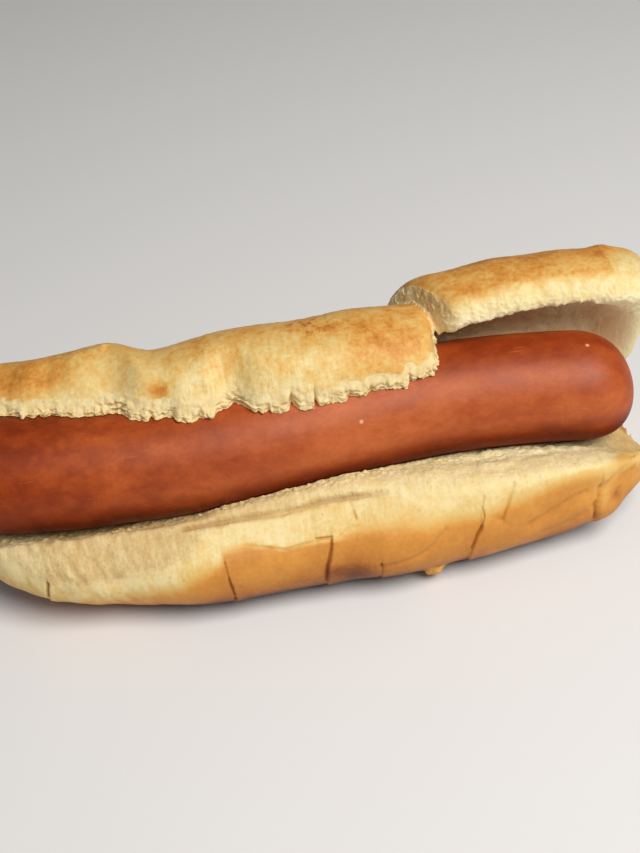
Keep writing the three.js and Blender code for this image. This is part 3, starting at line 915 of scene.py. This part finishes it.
class Nodes:
    """Short calls for building a material's node tree."""

    def __init__(self, name):
        self.material = bpy.data.materials.new(name)
        self.material.use_nodes = True
        self.tree = self.material.node_tree
        self.shader = self.tree.nodes["Principled BSDF"]
        where = self.new("TexCoord").outputs["Object"]
        scaled = self.new("VectorMath")
        scaled.operation = "SCALE"
        scaled.inputs["Scale"].default_value = 1 / MM
        self.link(where, scaled.inputs[0])
        self.place = scaled.outputs[0]  # millimetres

    def new(self, kind):
        return self.tree.nodes.new("ShaderNode" + kind)

    def link(self, source, socket):
        if isinstance(source, (int, float, tuple)):
            socket.default_value = source
        else:
            self.tree.links.new(source, socket)

    def attribute(self, name):
        node = self.new("Attribute")
        node.attribute_name = name
        return node.outputs["Fac"]

    def noise(self, size, detail, rough, stretch=(1, 1, 1), seed=0.0):
        """Noise from 0 to 1 with features of that size in millimetres."""
        mapping = self.new("Mapping")
        mapping.inputs["Scale"].default_value = stretch
        mapping.inputs["Location"].default_value = (seed, seed * 0.7, -seed)
        self.link(self.place, mapping.inputs["Vector"])
        node = self.new("TexNoise")
        node.inputs["Scale"].default_value = 1 / size
        node.inputs["Detail"].default_value = detail
        node.inputs["Roughness"].default_value = rough
        self.link(mapping.outputs[0], node.inputs["Vector"])
        return node.outputs["Fac"]

    def voronoi(self, size):
        """Distance to the nearest of scattered spots, in sizes."""
        node = self.new("TexVoronoi")
        node.inputs["Scale"].default_value = 1 / size
        self.link(self.place, node.inputs["Vector"])
        return node.outputs["Distance"]

    def math(self, operation, first, *rest):
        """Works through the values from the first to the last."""
        for value in rest:
            node = self.new("Math")
            node.operation = operation
            self.link(first, node.inputs[0])
            self.link(value, node.inputs[1])
            first = node.outputs[0]
        return first

    def add(self, *values):
        return self.math("ADD", *values)

    def times(self, *values):
        return self.math("MULTIPLY", *values)

    def range(self, value, low, high, to_low=0.0, to_high=1.0):
        node = self.new("MapRange")
        node.interpolation_type = "SMOOTHSTEP"
        for socket, number in zip(("From Min", "From Max", "To Min", "To Max"),
                                  (low, high, to_low, to_high)):
            node.inputs[socket].default_value = number
        self.link(value, node.inputs["Value"])
        return node.outputs[0]

    def ramp(self, value, stops):
        node = self.new("ValToRGB")
        elements = node.color_ramp.elements
        while len(elements) < len(stops):
            elements.new(0.5)
        for element, (at, colour) in zip(elements, stops):
            element.position = at
            element.color = colour
        self.link(value, node.inputs["Fac"])
        return node.outputs["Color"]

    def blend(self, share, a, b):
        node = self.new("Mix")
        node.data_type = "RGBA"
        for value, socket in ((share, 0), (a, 6), (b, 7)):
            self.link(value, node.inputs[socket])
        return node.outputs[2]

    def bump(self, height, distance, strength=1.0):
        node = self.new("Bump")
        node.inputs["Strength"].default_value = strength
        node.inputs["Distance"].default_value = distance
        self.link(height, node.inputs["Height"])
        return node.outputs["Normal"]

    def set(self, **inputs):
        for name, value in inputs.items():
            self.link(value, self.shader.inputs[name.replace("_", " ")])


def bread_material():
    m = Nodes("bread")
    crumb_w, bake_and_painted_light_w, crack_shade_w, fibrous_w, mottled_w = (
        m.attribute(name) for name in ("crumb", "bake_and_painted_light", "crack_shade", "fibrous", "mottled"))
    mottle = m.noise(3.6, 5.0, 0.65)
    blotch = m.noise(14.0, 2.0, 0.5, seed=7.0)
    fleck = m.noise(0.9, 3.0, 0.65, seed=3.0)
    streak = m.noise(0.7, 3.0, 0.6, stretch=(1.0, 0.14, 0.14), seed=21.0)
    uneven = m.add(m.range(mottle, 0.3, 0.7, -0.13, 0.15), m.range(fleck, 0.3, 0.75, -0.09, 0.12))
    streaky = m.range(streak, 0.3, 0.7, -0.1, 0.1)
    # Browning, with painted light and shade added, and painted shade in the cracks.
    browning_and_shade = m.add(bake_and_painted_light_w, m.times(uneven, mottled_w), m.times(streaky, fibrous_w),
                    m.range(blotch, 0.35, 0.65, -0.06, 0.06), m.times(crack_shade_w, 0.18))
    crust = m.ramp(m.times(browning_and_shade, 0.75), [
        (0.0, srgb(240, 219, 162)),
        (0.14, srgb(232, 202, 131)),
        (0.32, srgb(228, 180, 99)),
        (0.50, srgb(217, 150, 66)),
        (0.68, srgb(192, 123, 51)),
        (0.84, srgb(150, 84, 34)),
        (1.0, srgb(104, 56, 25)),
    ])
    # Painted shade in the cracks and the crease.
    crust = m.blend(m.times(crack_shade_w, 0.45), crust, srgb(150, 98, 46))
    pores = m.voronoi(0.9)
    soft = m.noise(0.7, 4.0, 0.65, seed=11.0)
    threads = m.noise(0.8, 3.0, 0.6, stretch=(1, 0.22, 0.22), seed=13.0)
    cloudy = m.noise(3.2, 3.0, 0.55, seed=5.0)
    # Lighter crumb: noise, pale tufts, and painted light and shade from the weight.
    pale = m.add(m.times(m.range(pores, 0.1, 0.6), 0.07), m.times(m.range(soft, 0.3, 0.7), 0.12),
                 m.times(m.range(threads, 0.3, 0.7), 0.2), m.times(cloudy, 0.5),
                 m.attribute("painted_light_and_pale_tufts"))
    inner = m.ramp(pale, [
        (0.05, srgb(216, 184, 120)),
        (0.34, srgb(240, 216, 154)),
        (0.7, srgb(251, 236, 188)),
    ])
    # Tanner crumb, partly painted shade.
    shaded_tan_crumb = m.ramp(pale, [
        (0.05, srgb(194, 160, 106)),
        (0.38, srgb(213, 181, 123)),
        (0.8, srgb(240, 218, 164)),
    ])
    inner = m.blend(m.attribute("tan_and_shade"), inner, shaded_tan_crumb)
    # Painted shade in the cracks and the crease.
    inner = m.blend(m.times(crack_shade_w, 0.8), inner, srgb(176, 130, 74))
    pits = m.times(m.range(m.voronoi(2.3), 0.1, 0.2, 1.0, 0.0), m.range(cloudy, 0.42, 0.6))
    crust = m.blend(m.times(pits, 0.25), crust, srgb(176, 128, 66))
    inner = m.blend(m.times(pits, 0.28), inner, srgb(170, 132, 84))
    inside = m.range(m.add(crumb_w, m.range(fleck, 0.3, 0.7, -0.12, 0.12)), 0.1, 0.9)
    m.set(Base_Color=m.blend(inside, crust, inner),
          Roughness=m.range(inside, 0.0, 1.0, 0.52, 0.92),
          Subsurface_Weight=0.1,
          Subsurface_Scale=1.2 * MM,
          Subsurface_Radius=(1.0, 0.7, 0.35),
          Specular_IOR_Level=0.3)
    crumb_height = m.add(m.times(soft, 0.7), m.times(pores, -0.3), m.times(threads, 0.5))
    crust_height = m.add(m.times(fleck, mottled_w, 0.6), m.times(streak, fibrous_w, 0.5))
    height = m.add(m.times(crumb_height, inside),
                   m.times(crust_height, m.math("SUBTRACT", 1.0, inside)))
    m.set(Normal=m.bump(height, 0.24 * MM))
    return m.material


def sausage_material():
    m = Nodes("frankfurter")
    smear = m.noise(5.0, 4.0, 0.6, stretch=(0.5, 1, 1))
    cloudy = m.noise(20.0, 2.0, 0.5, stretch=(0.6, 1, 1), seed=9.0)
    fine = m.noise(0.8, 3.0, 0.6, seed=2.0)
    smoky = m.noise(3.2, 3.0, 0.55, seed=17.0)
    # Painted shade on the sausage's underside and on its top under the right flap.
    painted_shade = m.attribute("painted_shade")
    split = m.new("SeparateXYZ")
    m.link(m.place, split.inputs[0])
    x = split.outputs["X"]
    smudges = m.times(m.range(smoky, 0.35, 0.65, -0.05, 0.05), m.range(x, -40.0, 0.0, 1.0, 0.6))
    # The tone falls towards the left end: painted shade for the light that falls off to the left.
    tone = m.add(m.times(smear, 0.55), m.times(cloudy, 0.5), m.range(fine, 0.2, 0.8, -0.03, 0.03),
                 m.range(x, -78.0, 0.0, -0.3, 0.05), smudges, m.times(painted_shade, -0.48))
    colour = m.ramp(tone, [
        (0.0, srgb(104, 30, 3)),
        (0.28, srgb(142, 54, 14)),
        (0.48, srgb(172, 76, 25)),
        (0.64, srgb(192, 97, 43)),
        (0.84, srgb(208, 116, 64)),
    ])
    scratch = m.noise(0.55, 2.0, 0.5, stretch=(0.07, 1, 1), seed=31.0)
    patchy = m.noise(9.0, 2.0, 0.5, seed=37.0)
    scratch = m.times(m.range(scratch, 0.66, 0.74), m.range(patchy, 0.5, 0.62))
    colour = m.blend(m.times(scratch, 0.25), colour, srgb(222, 140, 96))
    # Two small pale marks.
    for at in ((8.2, -9.3, 36.0), (58.6, -1.1, 40.9)):
        spot = m.new("VectorMath")
        spot.operation = "DISTANCE"
        m.link(m.place, spot.inputs[0])
        spot.inputs[1].default_value = [a + b for a, b in zip(at, CAD_OFFSET)]
        colour = m.blend(m.range(spot.outputs["Value"], 0.25, 0.55, 0.8, 0.0), colour,
                         srgb(240, 176, 140))
    m.set(Base_Color=colour,
          Roughness=m.range(smear, 0.3, 0.7, 0.48, 0.58),
          Subsurface_Weight=0.06,
          Subsurface_Scale=1.0 * MM,
          Subsurface_Radius=(1.0, 0.3, 0.12),
          Specular_IOR_Level=m.times(m.range(x, -75.0, -5.0, 0.17, 0.43),
                                     m.range(painted_shade, 0.0, 1.0, 1.0, 0.2)),
          Normal=m.bump(m.add(m.times(fine, 0.25), m.times(smear, 0.5)), 0.2 * MM, 0.6))
    return m.material


skin.materials.append(bread_material())
frank_mesh.materials.append(sausage_material())

# ---- floor, light and camera ----
CAMERA_TARGET = (0.5, 0.0, 28.5)
CAMERA_DISTANCE = 280.0
CAMERA_AZIMUTH, CAMERA_ELEVATION, CAMERA_ROLL = -6.0, 40.0, 4.5
CAMERA_LENS = 1300 / 853 * 36.0  # a focal length of 1300 pixels, in millimetres
WORLD_LIGHT = 0.11
FLOOR_REACH = 2.0

bpy.context.scene.view_settings.view_transform = "Standard"


def direction(azimuth, elevation):
    a, e = math.radians(azimuth), math.radians(elevation)
    return Vector((math.sin(a) * math.cos(e), -math.cos(a) * math.cos(e), math.sin(e)))


def aim(obj, target, away, distance, roll=0.0):
    """Puts obj that far from the target and turns it to face it."""
    obj.location = target + away * distance
    turn = (-away).to_track_quat("-Z", "Y").to_matrix()
    obj.rotation_euler = (turn @ Matrix.Rotation(math.radians(roll), 3, "Z")).to_euler()


middle = Vector(((np.array(CAMERA_TARGET) + CAD_OFFSET) * MM).tolist())

camera = in_scene("camera", bpy.data.cameras.new("camera"))
camera.data.lens = CAMERA_LENS
camera.data.clip_start = 0.01
aim(camera, middle, direction(CAMERA_AZIMUTH, CAMERA_ELEVATION), CAMERA_DISTANCE * MM,
    -CAMERA_ROLL)
bpy.context.scene.camera = camera


def area_light(name, azimuth, elevation, distance, size, power, colour=(1, 1, 1)):
    data = bpy.data.lights.new(name, "AREA")
    data.shape = "DISK"
    data.size = size
    data.energy = power
    data.color = colour
    aim(in_scene(name, data), middle, direction(azimuth, elevation), distance)


area_light("key", azimuth=36, elevation=56, distance=0.75, size=0.5, power=5.9,
           colour=(1.0, 0.97, 0.93))
area_light("fill", azimuth=-25, elevation=50, distance=1.4, size=1.2, power=0.9)

corners = FLOOR_REACH * np.array([[-1, -1, 0], [1, -1, 0], [1, 1, 0], [-1, 1, 0]], float)
floor_mesh = mesh_from("floor", corners, [[0, 1, 2, 3]])
floor = in_scene("floor", floor_mesh)
paper = Nodes("floor")
paper.set(Base_Color=(0.82, 0.82, 0.82, 1.0), Roughness=0.9)
floor_mesh.materials.append(paper.material)

world = bpy.data.worlds.new("studio")
bpy.context.scene.world = world
world.use_nodes = True
sky = world.node_tree.nodes["Background"].inputs
sky["Color"].default_value = (1, 1, 1, 1)
sky["Strength"].default_value = WORLD_LIGHT

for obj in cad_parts.values():
    obj.data.materials.clear()
    obj.data.materials.append(bpy.data.materials["bread"])
